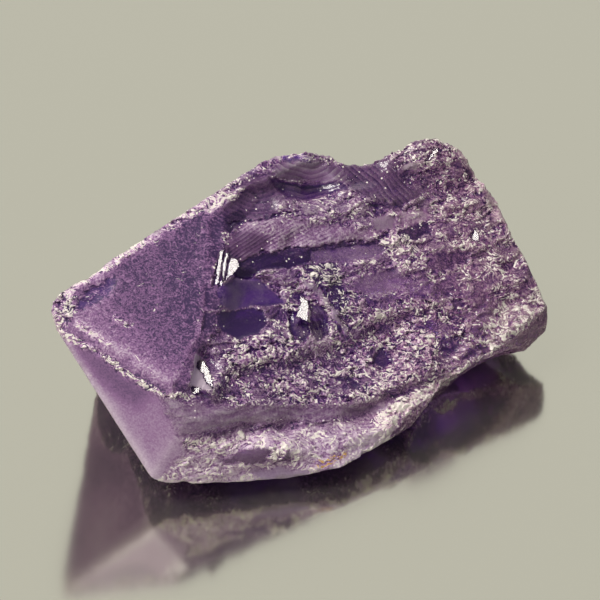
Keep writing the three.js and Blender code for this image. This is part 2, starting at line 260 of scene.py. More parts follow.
PATCHES = [
    {"name": "upper right field", "crush": 0.7, "pale": 0.26, "tone": 0.0, "outline": [
        (0.0, 8.6), (3.9, 9.5), (8.6, 7.8), (15.5, 9.5), (17.1, 7.8), (19.0, 4.3), (20.3, 1.7),
        (17.2, 0.9), (12.1, 0.7), (9.5, 3.3), (6.2, 5.5), (0.0, 6.7)]},
    {"name": "granular crush", "crush": 1.0, "frost": 0.2, "clear": 0.2, "pale": 0.16, "tone": -0.35,
     "ledge": 0.2, "outline": [
        (0.3, 3.3), (3.0, 3.1), (4.1, 0.9), (6.9, 0.0), (11.2, 0.0), (14.0, -1.0), (14.5, -3.0),
        (12.1, -5.6), (9.1, -7.3), (6.0, -8.4), (2.6, -9.0), (-3.4, -9.0), (-7.4, -8.6),
        (-7.6, -6.9), (-6.7, -4.3), (-4.7, -3.3), (-3.0, -2.4), (-1.4, -0.4)]},
    {"name": "dark crush by the gully", "crush": 1.0, "tone": -1.5, "pale": 0.3, "outline": [
        (0.3, 3.3), (3.0, 3.1), (3.9, 0.9), (4.5, -1.7), (3.1, -1.3), (1.6, 0.9)]},
    {"name": "rippled scoop", "frost": 0.3, "crush": 0.15, "clear": 0.3, "pale": 0.0, "tone": -0.35,
     "ledge": 0.0, "outline": [
        (-6.6, 8.8), (-4.3, 10.5), (-2.6, 11.0), (-1.4, 9.8), (-1.4, 8.4), (-2.4, 7.2),
        (-5.2, 6.9), (-6.4, 6.6), (-7.7, 6.4), (-7.4, 7.8)]},
    {"name": "chip on the rim", "clear": 0.8, "crush": 0.2, "tone": -0.6, "ledge": 0.0, "outline": [
        (-1.9, 12.3), (-0.9, 12.8), (0.2, 12.6), (1.2, 12.0), (0.0, 11.8), (-1.3, 11.9)]},
    {"name": "lit wall of the scallop", "frost": 0.4, "crush": 0.05, "clear": 0.3, "pale": 0.0,
     "tone": 0.15, "ledge": 0.0, "outline": [
        (-2.2, 11.6), (0.0, 12.1), (3.4, 11.5), (4.8, 10.3), (3.9, 10.0), (1.7, 10.1),
        (-0.4, 10.3), (-2.2, 10.6)]},
    {"name": "dark crescent of the scallop", "clear": 0.6, "frost": 0.3, "crush": 0.1,
     "pale": 0.0, "tone": -0.35, "ledge": 0.0, "sink": 0.3, "ragged": 0.5, "outline": [
        (-2.7, 10.5), (-1.5, 10.3), (0.1, 10.0), (3.5, 10.2), (4.3, 9.7), (2.6, 9.1), (0.4, 8.6),
        (-1.0, 8.8), (-2.0, 9.5)]},
    {"name": "saddle", "frost": 0.2, "crush": 0.15, "clear": 0.4, "tone": -0.25, "ledge": 0.0,
     "pale": 0.0, "outline": [
        (3.6, 11.8), (6.0, 11.9), (7.6, 12.3), (9.0, 10.3), (10.3, 9.3), (8.8, 7.8), (6.4, 8.1),
        (4.5, 9.5)]},
    {"name": "layered peak", "frost": 0.1, "crush": 0.75, "clear": 0.1, "tone": -0.25, "ledge": 0.4,
     "outline": [
        (7.4, 12.7), (9.5, 13.2), (11.8, 13.7), (13.8, 12.8), (15.0, 11.5), (15.5, 9.8),
        (12.9, 9.5), (9.5, 9.7), (8.3, 11.0)]},
    {"name": "pale striated ledge", "frost": 0.5, "crush": 0.35, "pale": 0.15, "clear": 0.0,
     "tone": 0.25, "ledge": 0.0, "ragged": 0.6, "outline": [
        (-6.4, 4.8), (-5.3, 6.2), (-4.3, 7.0), (-2.2, 7.2), (0.0, 6.9), (3.0, 6.4), (6.2, 5.9),
        (6.2, 5.2), (3.0, 4.7), (0.0, 4.4), (-3.3, 4.0), (-5.3, 3.1), (-6.2, 3.3)]},
    {"name": "plum start of that ledge", "frost": 0.3, "crush": 0.1, "pale": 0.0, "tone": -0.2,
     "edge": 0.8, "ragged": 0.5, "outline": [
        (-6.5, 4.4), (-5.6, 5.8), (-4.2, 6.0), (-2.6, 5.4), (-2.8, 4.3), (-5.3, 3.1), (-6.3, 3.2)]},
    {"name": "maroon facet at the border", "clear": 0.2, "frost": 0.3, "crush": 0.05, "pale": 0.0,
     "tone": -0.85, "ledge": 0.0, "edge": 0.15, "ragged": 0.35, "outline": [
        (-7.2, 6.5), (-6.7, 7.1), (-5.2, 7.8), (-4.7, 7.3), (-5.4, 6.5), (-6.0, 5.7), (-6.7, 6.1)]},
    {"name": "plum triangle above it", "frost": 0.4, "crush": 0.05, "pale": 0.0, "tone": -0.2,
     "ledge": 0.0, "edge": 0.2, "ragged": 0.4, "outline": [
        (-5.1, 7.9), (-4.0, 10.0), (-3.4, 9.2), (-3.2, 8.0), (-4.3, 7.7)]},
    {"name": "dark gully", "clear": 0.4, "frost": 0.2, "crush": 0.15, "pale": 0.0, "tone": -1.1,
     "ledge": 0.0, "sink": 0.25, "ragged": 0.5, "outline": [
        (-6.2, 2.8), (-5.2, 3.3), (-3.3, 3.9), (0.8, 4.4), (1.6, 4.3), (1.0, 3.4), (-0.9, 2.8),
        (-3.3, 2.6), (-4.7, 1.4), (-5.9, 1.7)]},
    {"name": "violet window under the ledge", "clear": 0.6, "frost": 0.4, "crush": 0.15,
     "pale": 0.0, "tone": 0.1, "ledge": 0.0, "sink": 0.2, "ragged": 0.6, "outline": [
        (1.0, 4.2), (3.9, 4.7), (6.4, 4.9), (7.8, 4.5), (5.9, 3.5), (3.0, 3.3), (1.0, 3.1)]},
    {"name": "indigo window", "clear": 0.7, "frost": 0.5, "crush": 0.0, "pale": 0.0, "tone": -0.75,
     "ledge": 0.0, "sink": 0.0, "edge": 0.15, "ragged": 0.3, "outline": [
        (-7.3, 1.2), (-6.6, 1.4), (-5.5, 1.9), (-3.6, 1.8), (-2.6, 0.9), (-1.2, -0.3), (-2.6, -0.5),
        (-4.2, -0.5), (-5.9, -0.9), (-7.2, -0.2)]},
    {"name": "darkest window", "clear": 0.5, "frost": 0.4, "crush": 0.1, "pale": 0.0,
     "tone": -1.0, "ledge": 0.0, "sink": 0.0, "edge": 0.15, "ragged": 0.5, "outline": [
        (-7.0, -1.0), (-5.9, -1.0), (-4.3, -0.7), (-3.2, -1.0), (-2.8, -2.0), (-3.6, -2.9),
        (-5.2, -3.3), (-6.6, -2.8), (-7.4, -1.9)]},
    {"name": "violet window by the pits", "clear": 0.5, "frost": 0.3, "crush": 0.2,
     "pale": 0.0, "tone": 0.1, "ledge": 0.0, "ragged": 0.6, "outline": [
        (4.5, 1.4), (6.2, 2.2), (8.3, 2.8), (9.1, 1.7), (8.1, 0.6), (5.5, 0.5)]},
    {"name": "flow below the pits", "clear": 0.0, "frost": 0.2, "crush": 0.75, "tone": 0.3,
     "ledge": 0.0, "outline": [(0.3, -2.9), (2.6, -2.9), (2.8, -4.5), (1.4, -5.2), (0.2, -4.3)]},
    {"name": "left pit", "clear": 0.7, "crush": 0.2, "tone": -0.35, "sink": 0.5, "outline": [
        (-0.9, -1.0), (-0.1, -0.9), (0.7, -1.9), (0.9, -3.1), (0.0, -3.6), (-0.9, -2.6)]},
    {"name": "right pit", "clear": 0.75, "frost": 0.2, "crush": 0.1, "tone": 0.0, "sink": 0.4,
     "outline": [
        (1.0, -0.4), (1.9, -0.3), (2.4, -1.6), (2.4, -3.1), (1.6, -3.6), (0.9, -2.6)]},
    {"name": "smooth violet band", "frost": 0.4, "crush": 0.2, "clear": 0.3, "pale": 0.0,
     "tone": 0.25, "edge": 0.7, "ledge": 0.1, "outline": [
        (-11.7, -8.4), (-9.1, -8.8), (-5.9, -9.3), (0.0, -9.2), (5.2, -9.0), (8.4, -8.3),
        (8.8, -9.3), (6.2, -10.0), (2.6, -10.3), (-0.9, -10.3), (-5.9, -11.0), (-9.3, -11.7),
        (-10.3, -11.9), (-11.4, -9.9)]},
    {"name": "pale front rim", "pale": 0.52, "frost": 0.6, "crush": 0.5, "clear": 0.0,
     "tone": 0.5, "ledge": 0.1, "outline": [
        (-12.4, -15.9), (-11.0, -14.1), (-10.2, -13.4), (-9.3, -12.1), (-5.2, -11.4),
        (0.0, -10.9), (4.3, -10.3), (6.9, -9.7), (9.1, -8.4), (10.8, -7.8), (12.1, -6.6),
        (13.8, -5.7), (12.9, -7.2), (10.8, -8.8), (9.1, -10.7), (7.6, -11.9), (4.7, -13.4),
        (1.7, -15.6), (-1.7, -16.4), (-6.9, -16.6)]},
    {"name": "smooth dish in the front rim", "pale": 0.05, "frost": 0.3, "clear": 0.3,
     "crush": 0.05, "tone": 0.0, "outline": [
        (-7.3, -14.0), (-5.2, -13.1), (-2.9, -12.5), (-0.9, -13.1), (-0.6, -14.1), (-3.3, -14.0),
        (-5.6, -14.1)]},
    {"name": "lilac strip at the foot", "pale": 0.2, "frost": 0.6, "crush": 0.05, "tone": 0.5,
     "outline": [
        (-4.3, -14.7), (-2.2, -14.4), (0.8, -14.8), (0.5, -15.4), (-1.7, -15.5), (-3.9, -15.4)]},
    {"name": "dark pocket in the crush", "clear": 0.6, "crush": 0.3, "pale": 0.0, "tone": -0.6,
     "sink": 0.25, "outline": [(6.4, -4.6), (7.3, -4.3), (8.1, -5.3), (7.2, -5.8), (6.2, -5.5)]},
    {"name": "dark pocket by the lip", "clear": 0.4, "crush": 0.3, "pale": 0.0, "tone": -0.5,
     "sink": 0.2, "outline": [(15.3, -4.0), (15.9, -3.6), (16.4, -4.1), (15.9, -4.6)]},
    {"name": "dark pocket on the right", "clear": 0.4, "crush": 0.3, "pale": 0.0, "tone": -0.4,
     "sink": 0.2, "outline": [(12.9, -0.1), (13.8, 0.1), (14.2, -0.6), (13.3, -0.9)]},
    {"name": "white star", "pale": 0.7, "crush": 0.9, "outline": [
        (-2.1, -11.5), (-0.5, -12.1), (-1.2, -13.1), (-1.7, -13.8), (-3.1, -14.0), (-2.4, -12.9),
        (-3.3, -12.4)]},
    {"name": "white crumb line", "pale": 0.42, "crush": 0.9, "outline": [
        (-10.0, -12.1), (-6.7, -11.8), (-3.3, -11.7), (-1.0, -12.1), (-1.4, -12.7),
        (-6.7, -12.8), (-9.5, -12.8)]},
    {"name": "cream foot under the crush", "pale": 0.75, "frost": 0.7, "crush": 0.2, "tone": 0.8,
     "outline": [
        (1.6, -15.4), (3.4, -14.0), (4.4, -12.4), (6.7, -11.2), (8.3, -10.0), (9.3, -10.3),
        (7.8, -11.9), (5.2, -13.6)]},
    {"name": "white crush above the lip", "pale": 0.62, "crush": 1.0, "outline": [
        (6.2, -10.3), (7.2, -9.3), (8.6, -8.3), (10.2, -7.6), (11.7, -6.7), (12.1, -7.2),
        (10.3, -8.4), (8.4, -11.0), (7.2, -11.2)]},
    {"name": "beige field on the right", "pale": 0.55, "crush": 0.7, "tone": 0.5, "outline": [
        (16.0, -1.9), (17.2, -0.3), (19.0, 0.7), (20.3, 1.0), (21.4, 0.2), (20.0, -1.6),
        (18.1, -3.1), (16.4, -4.3), (15.3, -3.4)]},
    {"name": "under the lip", "frost": 0.3, "crush": 0.6, "pale": 0.05, "clear": 0.2,
     "tone": 0.1, "ledge": 0.3, "outline": [
        (21.6, -0.2), (19.9, -1.9), (18.2, -3.3), (15.2, -5.2), (13.4, -6.5), (11.6, -7.9),
        (9.6, -9.3), (8.3, -10.3), (9.0, -11.8), (11.4, -9.9), (14.8, -7.3), (18.3, -6.2),
        (20.7, -4.6), (22.4, -2.6)]},
    {"name": "dark facet with dots", "clear": 0.3, "frost": 0.3, "crush": 0.4, "pale": 0.0,
     "tone": -0.35, "ledge": 0.0, "outline": [
        (10.8, 3.3), (12.1, 4.1), (14.7, 4.3), (14.5, 3.3), (12.5, 2.6), (11.2, 2.6)]},
    {"name": "violet facet below it", "clear": 0.3, "frost": 0.3, "crush": 0.35, "pale": 0.0,
     "tone": -0.25, "ledge": 0.0, "outline": [
        (11.4, 1.6), (12.8, 1.7), (14.3, 1.4), (13.8, 0.7), (12.5, 0.3), (11.6, 0.7)]},
    {"name": "violet facet by the shoulder", "clear": 0.3, "frost": 0.3, "crush": 0.35,
     "pale": 0.0, "tone": -0.2, "ledge": 0.0, "outline": [
        (14.8, 1.4), (15.5, 1.7), (16.3, 0.9), (16.1, -0.4), (15.3, -0.6), (14.8, 0.2)]},
    {"name": "dark wedge", "clear": 0.3, "frost": 0.2, "crush": 0.3, "pale": 0.0, "tone": -0.8,
     "ledge": 0.0, "outline": [
        (8.4, 5.9), (9.9, 6.6), (11.4, 6.4), (11.2, 5.7), (9.7, 5.2), (8.6, 5.2)]},
    {"name": "lilac facet before it", "frost": 0.4, "crush": 0.1, "pale": 0.05, "tone": 0.5,
     "ledge": 0.0, "edge": 0.15, "ragged": 0.4, "outline": [
        (6.2, 6.9), (7.4, 7.4), (8.3, 7.1), (8.0, 6.2), (6.5, 5.9)]},
    {"name": "light flake on the peak", "frost": 0.5, "crush": 0.0, "pale": 0.0, "tone": 1.0,
     "ledge": 0.0, "edge": 0.15, "ragged": 0.3, "outline": [
        (8.8, 11.6), (9.4, 11.9), (10.1, 11.8), (10.3, 11.3), (9.0, 11.2)]},
    {"name": "grey face behind the shoulder", "pale": 0.35, "frost": 0.6, "crush": 0.3, "clear": 0.2,
     "tone": 0.4, "ledge": 0.0, "ragged": 0.3, "outline": [
        (13.0, 13.2), (14.1, 11.9), (14.9, 10.9), (15.5, 9.7), (16.4, 8.2), (17.0, 6.9),
        (18.4, 5.9), (17.6, 8.9), (16.2, 11.2), (14.2, 13.8)]},
    {"name": "grey flat patch", "pale": 0.42, "frost": 0.7, "crush": 0.2, "clear": 0.0, "tone": 0.4,
     "ledge": 0.2, "ragged": 0.5, "outline": [
        (8.6, 7.6), (10.7, 7.9), (11.2, 7.1), (9.8, 6.4), (8.6, 6.4)]},
    {"name": "star of crush", "pale": 0.35, "crush": 1.0, "outline": [
        (7.2, 5.5), (8.6, 5.9), (9.7, 5.5), (9.9, 3.3), (8.8, 2.4), (7.9, 3.6)]},
    {"name": "cloudy patch by the shoulder", "pale": 0.6, "crush": 0.5, "outline": [
        (15.3, 4.1), (17.2, 4.0), (17.7, 2.9), (16.2, 2.8), (15.0, 3.3)]},
    {"name": "cloudy patch below it", "pale": 0.6, "crush": 0.4, "outline": [
        (13.4, 2.5), (14.7, 2.7), (15.2, 1.7), (14.0, 1.4)]},
    {"name": "flat frosted face", "frost": 0.85, "crush": 0.3, "pale": 0.0, "clear": 0.0,
     "tone": -0.62, "ledge": 0.0, "outline": [
        (-21.8, -0.9), (-19.4, 1.4), (-17.2, 2.9), (-13.8, 5.0), (-10.3, 7.2), (-8.1, 8.6),
        (-6.7, 9.1), (-6.6, 7.3), (-6.7, 5.0), (-7.4, 3.3), (-7.2, 1.3), (-6.9, 0.0),
        (-7.4, -2.6), (-8.5, -4.3), (-9.3, -6.2), (-10.2, -7.9), (-11.8, -8.1), (-15.1, -6.1),
        (-18.1, -4.1), (-20.7, -2.7)]},
    # mottled grain, and a darker tone at the upper right as painted shade; lighter tone at the lower
    # left as painted light
    {"name": "mottled part of it, darkened as painted shade", "crush": 0.4, "tone": -0.85, "edge": 1.8, "outline": [
        (-10.5, 6.7), (-8.2, 8.0), (-6.6, 7.3), (-6.6, 4.7), (-7.1, 3.3), (-6.9, 0.0),
        (-7.2, -2.6), (-8.2, -4.3), (-9.9, -3.9), (-10.8, -1.0), (-11.6, 2.8)]},
    {"name": "lower part of it, lightened as painted light", "tone": -0.2, "edge": 2.2, "outline": [
        (-20.7, -2.2), (-17.7, 0.0), (-14.7, -1.6), (-12.1, -4.3), (-10.6, -6.0), (-12.2, -6.9),
        (-14.0, -6.2), (-16.4, -4.9)]},
    # the same etched quartz as the flat frosted face, its lighter tone painted light from the front and
    # the floor
    {"name": "lilac face, smooth and in painted light", "frost": 1.0, "crush": 0.06, "pale": 0.0, "clear": 0.0,
     "tone": 0.17, "ledge": 0.0, "edge": 0.7, "outline": [
        (-21.8, -1.6), (-20.5, -2.8), (-18.1, -4.3), (-15.1, -6.3), (-12.1, -8.2),
        (-11.5, -9.9), (-10.3, -12.1), (-10.0, -13.1), (-11.0, -14.1), (-12.4, -15.9),
        (-13.6, -15.6), (-15.3, -12.9), (-17.9, -8.6), (-20.9, -3.9)]},
    {"name": "grey part by the tip", "tone": -0.45, "edge": 1.6, "outline": [
        (-21.1, -1.9), (-18.1, -4.3), (-15.1, -6.4), (-12.9, -7.9), (-13.8, -9.5),
        (-16.4, -7.9), (-19.0, -5.3)]},
    {"name": "beige patch on the rim", "pale": 0.55, "crush": 0.9, "tone": 0.5, "outline": [
        (-8.6, 7.9), (-6.5, 9.3), (-4.8, 9.8), (-5.0, 9.0), (-6.7, 8.1), (-7.9, 7.4)]},
    # pale lilac tone: a painted highlight
    {"name": "painted highlight on the three-sided facet's lilac side", "frost": 0.6, "crush": 0.0, "clear": 0.0,
     "pale": 0.1, "tone": 1.1, "ledge": 0.0, "edge": 0.1, "ragged": 0.2, "outline": [
        (-9.0, -4.6), (-8.5, -4.9), (-7.9, -5.8), (-7.4, -7.2), (-7.4, -7.8), (-8.2, -7.7),
        (-9.4, -8.1), (-9.5, -7.2), (-9.2, -6.0)]},
    {"name": "notch in the rim", "clear": 0.3, "crush": 0.85, "tone": -0.9, "pale": 0.0,
     "sink": 0.2, "outline": [
        (-19.4, -1.0), (-19.0, 0.0), (-18.1, 1.0), (-16.8, 1.7), (-15.9, 1.9), (-15.8, 1.3),
        (-16.4, 0.3), (-17.7, -0.4)]},
    {"name": "frosted tip", "pale": 0.4, "crush": 1.0, "outline": [
        (-21.7, -1.0), (-20.9, 0.1), (-19.5, 0.9), (-19.2, 0.2), (-19.4, -1.4), (-20.3, -2.6),
        (-21.2, -2.4)]},
    {"name": "iron stain", "iron": 0.9, "outline": [
        (0.8, -14.5), (1.5, -14.0), (2.9, -13.5), (4.0, -13.1), (3.9, -13.5), (2.6, -14.1),
        (1.9, -14.5)]},
]
print("patches:", len(PATCHES))

# %% The strokes
STROKES = [
    {"name": "rim of the flat face", "width": 0.7, "pale": 0.1, "crush": 1.0, "tone": -0.3, "path": [
        (-21.4, -0.3), (-19.4, 1.1), (-13.8, 4.7), (-10.3, 6.8), (-6.5, 9.3), (-3.3, 11.5),
        (-0.9, 12.7)]},
    {"name": "crest", "width": 0.4, "pale": 0.25, "crush": 0.9, "path": [
        (-0.9, 12.8), (1.0, 12.1), (5.6, 12.0), (7.4, 12.8), (9.5, 13.2), (11.8, 13.7),
        (14.0, 12.8), (15.3, 10.9)]},
    {"name": "ridge", "width": 0.55, "pale": 0.5, "crush": 1.0, "path": [
        (-20.7, -2.7), (-18.1, -4.2), (-15.1, -6.2), (-11.8, -8.1), (-9.1, -8.4)]},
    {"name": "left outer edge", "width": 0.25, "pale": 0.35, "path": [
        (-21.1, -2.8), (-18.5, -6.7), (-14.7, -12.9), (-12.9, -15.3)]},
    {"name": "front lower edge", "width": 0.3, "pale": 0.3, "path": [
        (-12.9, -15.5), (-9.5, -15.8), (-6.5, -15.9), (-1.7, -15.6), (1.7, -15.0)]},
    {"name": "right shoulder", "width": 0.5, "pale": 0.15, "crush": 0.9, "path": [
        (13.0, 13.1), (14.9, 10.9), (15.5, 9.7), (17.0, 6.9), (18.8, 4.9), (21.1, 0.5)]},
    {"name": "dark line inside the shoulder", "width": 0.2, "tone": -0.7, "pale": 0.0, "path": [
        (12.6, 12.8), (14.5, 10.8), (15.1, 9.6), (16.6, 6.9)]},
    {"name": "lip", "width": 0.35, "pale": 0.5, "crush": 0.8, "path": [
        (21.5, -0.1), (19.8, -1.9), (18.1, -3.3), (15.1, -5.2), (13.4, -6.5), (11.5, -7.9),
        (9.5, -9.3), (8.3, -10.3)]},
    # the dark tone of this groove is the painted shadow of the ledge above it
    {"name": "groove under the ledge in painted shadow", "width": 0.5, "tone": -0.8, "pale": 0.0, "sink": 0.2, "path": [
        (-5.5, 2.9), (-3.3, 3.9), (0.8, 4.4), (6.2, 5.0), (7.6, 5.6)]},
    {"name": "crumbs by the tip", "width": 0.3, "pale": 0.5, "crush": 0.9, "path": [
        (-16.2, -1.3), (-15.5, -1.9), (-14.5, -2.1)]},
    {"name": "crumbs along the ridge", "width": 0.6, "pale": 0.2, "crush": 0.9, "path": [
        (-19.0, -2.2), (-17.7, -3.0), (-16.6, -3.9)]},
    {"name": "slivers in the saddle", "width": 0.2, "pale": 0.2, "crush": 0.8, "path": [
        (4.4, 9.6), (6.0, 8.6), (8.0, 8.4)]},
    # dark tone: painted shade in the groove
    {"name": "painted shade in the crush groove", "width": 0.3, "tone": -0.8, "sink": 0.25, "path": [
        (-4.3, -4.5), (-2.2, -3.8), (-0.3, -3.3)]},
    {"name": "small crescent", "width": 0.35, "tone": -0.6, "sink": 0.1, "path": [
        (6.0, 8.3), (6.8, 8.2), (7.4, 8.5)]},
    # dark tone: painted shade in the groove
    {"name": "painted shade in the groove below the scoop", "width": 0.3, "tone": -0.7, "sink": 0.15, "path": [
        (-6.2, 6.5), (-5.2, 6.7), (-2.4, 7.2), (-0.9, 7.6)]},
    {"name": "rope by the pits", "width": 0.5, "pale": 0.1, "crush": 0.3, "tone": 0.5, "sink": -0.2,
     "path": [(0.3, 1.6), (2.1, 0.2), (3.3, -1.6), (4.0, -2.9)]},
    {"name": "white line along the rope", "width": 0.15, "pale": 0.8, "path": [
        (1.5, 1.0), (3.2, -1.3), (4.6, -3.2)]},
    {"name": "streak in the left pit", "width": 0.12, "pale": 0.6, "path": [
        (-0.8, -1.6), (-0.2, -2.2), (0.4, -3.0)]},
    {"name": "streak in the right pit", "width": 0.15, "pale": 0.6, "path": [
        (1.7, -0.7), (1.9, -1.3), (1.8, -1.9)]},
    {"name": "second streak in the right pit", "width": 0.12, "pale": 0.5, "path": [
        (2.1, -0.9), (2.2, -1.8)]},
    {"name": "shade at the foot of the right pit", "width": 0.3, "tone": -0.9, "path": [
        (0.9, -2.0), (1.3, -2.5), (2.2, -2.2)]},
]
print("strokes:", len(STROKES))

# %% [markdown]
# ## Laying the map
# The rows are laid over the vertices with soft edges. Two sizes of noise first sway the places, so
# the edges come out ragged, as a broken edge is. Small flat chips then lie here and there in the
# crush. Vertex painting would do this by hand, but rows of numbers are easier to set right beside a
# picture, and to change one at a time.

# %% Distances in the view plane
def smooth_rise(value, low, high):
    share = np.clip((value - low) / (high - low), 0, 1)
    return share * share * (3 - 2 * share)


def distance_to_path(places, path, closed=False):
    ends = path[1:] + path[:1] if closed else path[1:]
    nearest = np.full(len(places), np.inf)
    for start, end in zip(path, ends):
        start = np.array(start)
        run = np.array(end) - start
        share = np.clip((places - start) @ run / (run @ run), 0, 1)
        nearest = np.minimum(nearest, np.hypot(*(places - start - share[:, None] * run).T))
    return nearest


def depth_inside(places, outline):
    """Distance in from an outline, negative outside it."""
    inside = np.zeros(len(places), bool)
    x, y = places.T
    for (x0, y0), (x1, y1) in zip(outline, outline[1:] + outline[:1]):
        if y0 == y1:
            continue
        crosses = (y0 > y) != (y1 > y)
        inside ^= crosses & (x < x0 + (y - y0) * (x1 - x0) / (y1 - y0))
    distance = distance_to_path(places, outline, closed=True)
    return np.where(inside, distance, -distance)


square = [(-1, -1), (1, -1), (1, 1), (-1, 1)]
print("a square's middle lies this deep inside it:", depth_inside(np.zeros((1, 2)), square)[0])

# %% Small flat chips
CHIP_ACROSS = 1.1
CHIP_STRETCH = 1.7
CHIP_BEND = 0.25
CHIP_RIM = 0.15
CHIP_SHARE = 0.3
CHIP_SEED = 53.1


def each(points, value):
    """One number or vector for each point, its place given in millimetres."""
    return np.array([value(Vector(point) / MM) for point in points])


def chip_at(point):
    """Whether a small flat chip lies here, and its own tone from 0 to 1."""
    place = Vector((point.x / CHIP_STRETCH, point.y, point.z)) / CHIP_ACROSS
    place += CHIP_BEND * noise.noise_vector(place * 2)
    distances, nearest = noise.voronoi(place)
    own = noise.cell_vector(nearest[0] * CHIP_SEED)
    inner = min((distances[1] - distances[0]) / CHIP_RIM, 1.0)
    return (inner if own.x > 1 - CHIP_SHARE else 0.0, own.y)


chip = each(points, chip_at)
print("share of the net under chips:", round((chip[:, 0] > 0).mean(), 3))

# %% [markdown]
# The hidden side gets the same kinds of finish without outlines: its flat faces are etched like the
# seen ones, and its breaks are mostly glassy with grains along the edges. Broad, slow noise decides
# which part is which, so no two places are alike.

# %% The finish of the hidden side
HIDDEN_FACES = [Vector((-0.64, 0.68, 0.35)), Vector((-0.84, -0.35, -0.41))]
FACE_MATCH = 0.985
FACE_EDGE = 0.02
HIDDEN_PATCH = 6.0
GLASSY_FROM, GLASSY_FULL = -0.2, 0.3
PALE_FROM, PALE_FULL = 0.1, -0.3


def hidden_finish(points, normals):
    """The finish that each vertex would have on the hidden side, from noise and its normal."""
    wave = each(points, lambda p: noise.noise(p / HIDDEN_PATCH))
    glassy = smooth_rise(wave, GLASSY_FROM, GLASSY_FULL)
    broken = {
        "clear": 0.4 + 0.45 * glassy,
        "crush": 0.45 - 0.4 * glassy,
        "tone": 0.5 * wave - 0.3,
        "frost": 0.2,
        "pale": 0.12 * smooth_rise(wave, PALE_FROM, PALE_FULL),
        "ledge": 0.3,
    }
    etched = {"frost": 0.85, "crush": 0.2, "clear": 0.0, "tone": 0.6 * wave - 0.1, "ledge": 0.0}
    flat = np.max([normals @ np.array(face.normalized()) for face in HIDDEN_FACES], axis=0)
    cover = smooth_rise(flat, FACE_MATCH - FACE_EDGE, FACE_MATCH)
    for name, value in etched.items():
        broken[name] = broken[name] + cover * (value - broken[name])
    return broken


print("mean finish without outlines:", {
    name: round(float(np.mean(value)), 2) for name, value in hidden_finish(points, normals).items()})

# %% The whole map
SOFT_EDGE = 0.25
STROKE_CORE = 0.6
STROKE_SPREAD = 1.3
RAGGED = 0.3
RAGGED_OVER = 0.9
FINE_RAGGED = 0.22
FINE_RAGGED_OVER = 0.28
CHIPS_FROM, CHIPS_FULL = 0.35, 0.6
CHIP_FLATNESS = 0.6
CHIP_CLEARNESS = 0.3
CHIP_DARKNESS = 0.45


def lay_map(points, normals, seen):
    finish = {name: np.full(len(points), PLAIN_BREAK.get(name, 0.0)) for name in FINISHES}
    sway = RAGGED * each(points, lambda p: noise.noise_vector(p / RAGGED_OVER))
    sway += FINE_RAGGED * each(points, lambda p: noise.noise_vector(p / FINE_RAGGED_OVER))
    flat_places = view_plane(points)
    for row in PATCHES + STROKES:
        places = flat_places + row.get("ragged", 1.0) * sway[:, :2]
        if "outline" in row:
            edge = row.get("edge", SOFT_EDGE)
            cover = smooth_rise(depth_inside(places, row["outline"]), -edge / 2, edge / 2)
        else:
            reach = row["width"] / 2
            away = distance_to_path(places, row["path"])
            cover = 1 - smooth_rise(away, reach * STROKE_CORE, reach * STROKE_SPREAD)
        cover = cover * seen
        for name in FINISHES:
            if name in row:
                finish[name] += cover * (row[name] - finish[name])
    chip = each(points, chip_at)
    in_crush = smooth_rise(finish["crush"], CHIPS_FROM, CHIPS_FULL)
    flat = chip[:, 0] * seen * in_crush * (1 - finish["pale"])
    finish["crush"] *= 1 - CHIP_FLATNESS * flat
    finish["clear"] += CHIP_CLEARNESS * flat * (1 - finish["clear"])
    finish["tone"] += flat * (chip[:, 1] - CHIP_DARKNESS)
    for name, value in hidden_finish(points, normals).items():
        finish[name] = finish[name] * seen + value * (1 - seen)
    return finish


finish = lay_map(points, normals, seen)
print("mean finish:", {name: round(float(value.mean()), 2) for name, value in finish.items()})

# %% [markdown]
# ## A finer net where the surface is broken
# The chips of the break are smaller than the squares of the even net. So the broken parts of the
# seen side are subdivided once, and the smooth faces and the hidden side stay as they are. A finer
# net all over would look the same and make the mesh four times as heavy.

# %% A finer net
SMOOTH_FROST = 0.7
PALE_CRUMB = 0.2

rough = (seen > 0.5) & ((finish["frost"] < SMOOTH_FROST) | (finish["pale"] > PALE_CRUMB))
for face in stone.data.polygons:
    face.select = all(rough[i] for i in face.vertices)
bpy.ops.object.mode_set(mode="EDIT")
bpy.ops.mesh.select_mode(type="FACE")
bpy.ops.mesh.subdivide(number_cuts=1)
bpy.ops.mesh.select_all(action="DESELECT")
bpy.ops.object.mode_set(mode="OBJECT")
print("faces with the fine net:", len(stone.data.polygons))

# %% [markdown]
# ## Shards
# Four kinds of relief are worked out next, and laid on together further down. The first is the
# crush: small flat facets that lean every way. Each cell of a Voronoi pattern is a plane with a
# lean of its own. A displace modifier with a cloudy texture would give rounded bumps, which look
# like gravel and not like broken quartz.

# %% Shards
SHARD_SIZE = 0.55
SHARD_STRETCH = (1.8, 1, 1)
FINE_SHARD = 0.3
SHARD_LEAN = 0.95
SHARD_STEP = 0.12
SHARD_SEED = 91.7


def shards(point, size, stretch=(1, 1, 1)):
    """Height of small flat facets that lean every way, in units of their size."""
    place = Vector(c / size / s for c, s in zip(point, stretch))
    nearest = noise.voronoi(place)[1][0]
    lean = noise.cell_vector(nearest * SHARD_SEED) - Vector((0.5, 0.5, 0.5))
    return 2 * SHARD_LEAN * lean.dot(place - nearest) + SHARD_STEP * (lean.x + lean.y)


print("a shard's height at the origin:", round(shards(Vector((0, 0, 0)), SHARD_SIZE), 3))

# %% [markdown]
# ## Ledges
# The break climbs to the right in long steps. Each has a tread that rises slowly and ends in a
# short drop, so it is a saw tooth across the way that the ledges run. Noise bends the treads and
# lets each fade in and out. Extruded steps would all be straight and equally long.

